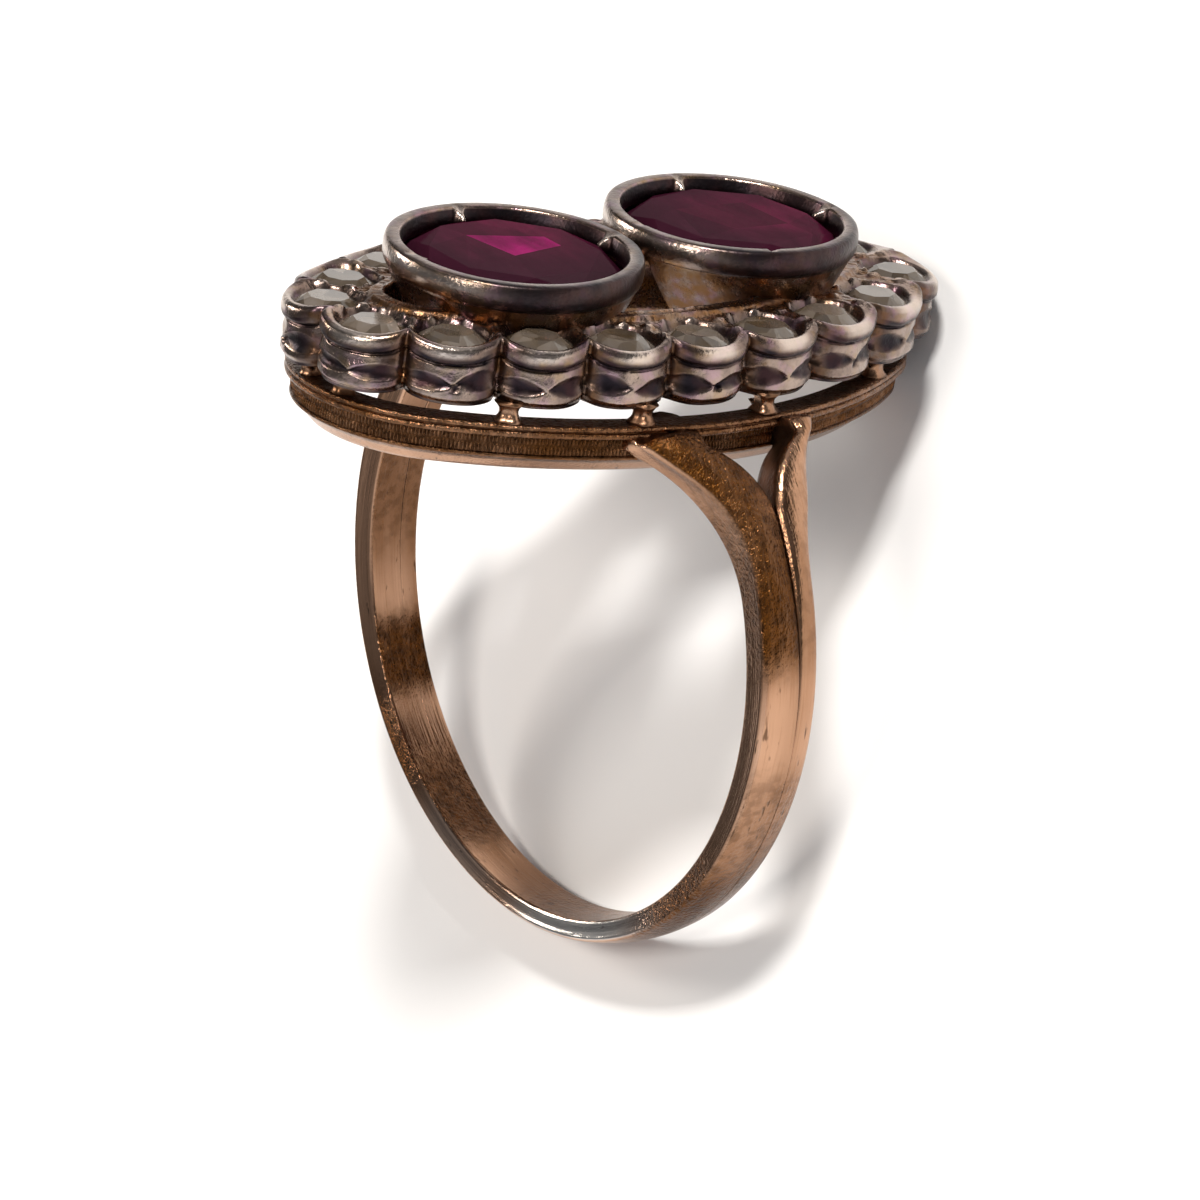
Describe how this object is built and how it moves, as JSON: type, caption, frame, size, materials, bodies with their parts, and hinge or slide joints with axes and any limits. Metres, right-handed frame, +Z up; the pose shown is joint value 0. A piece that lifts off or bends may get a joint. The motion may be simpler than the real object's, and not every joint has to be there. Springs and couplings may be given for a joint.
{
  "type": "tourmaline ring",
  "caption": "Old rose gold ring: forked shoulders carry an oval silver head with round tourmalines in raised bezels inside a scalloped border of small cut stones.",
  "frame": {"origin": "on the floor under the middle of the bounding box of the ring as it lies", "axes": "+Z up from the floor; +X from the bottom of the band towards the head, which leans up from the floor; -Y towards the shoulder that faces the viewer"},
  "size_m": [0.0216, 0.019, 0.0186],
  "materials": {
    "rose_gold": "worn, softly brushed rose gold",
    "old_silver": "hand cut, tarnished silver",
    "tourmaline": "polished plum red facets",
    "diamond": "old cut, a little yellow"
  },
  "bodies": {
    "root": {"shank": "rose_gold", "setting": "old_silver", "tourmaline_front": "tourmaline", "tourmaline_back": "tourmaline", "diamond_01": "diamond", "diamond_02": "diamond", "diamond_03": "diamond", "diamond_04": "diamond", "diamond_05": "diamond", "diamond_06": "diamond", "diamond_07": "diamond", "diamond_08": "diamond", "diamond_09": "diamond", "diamond_10": "diamond", "diamond_11": "diamond", "diamond_12": "diamond", "diamond_13": "diamond", "diamond_14": "diamond", "diamond_15": "diamond", "diamond_16": "diamond", "diamond_17": "diamond", "diamond_18": "diamond"}
  },
  "joints": []
}
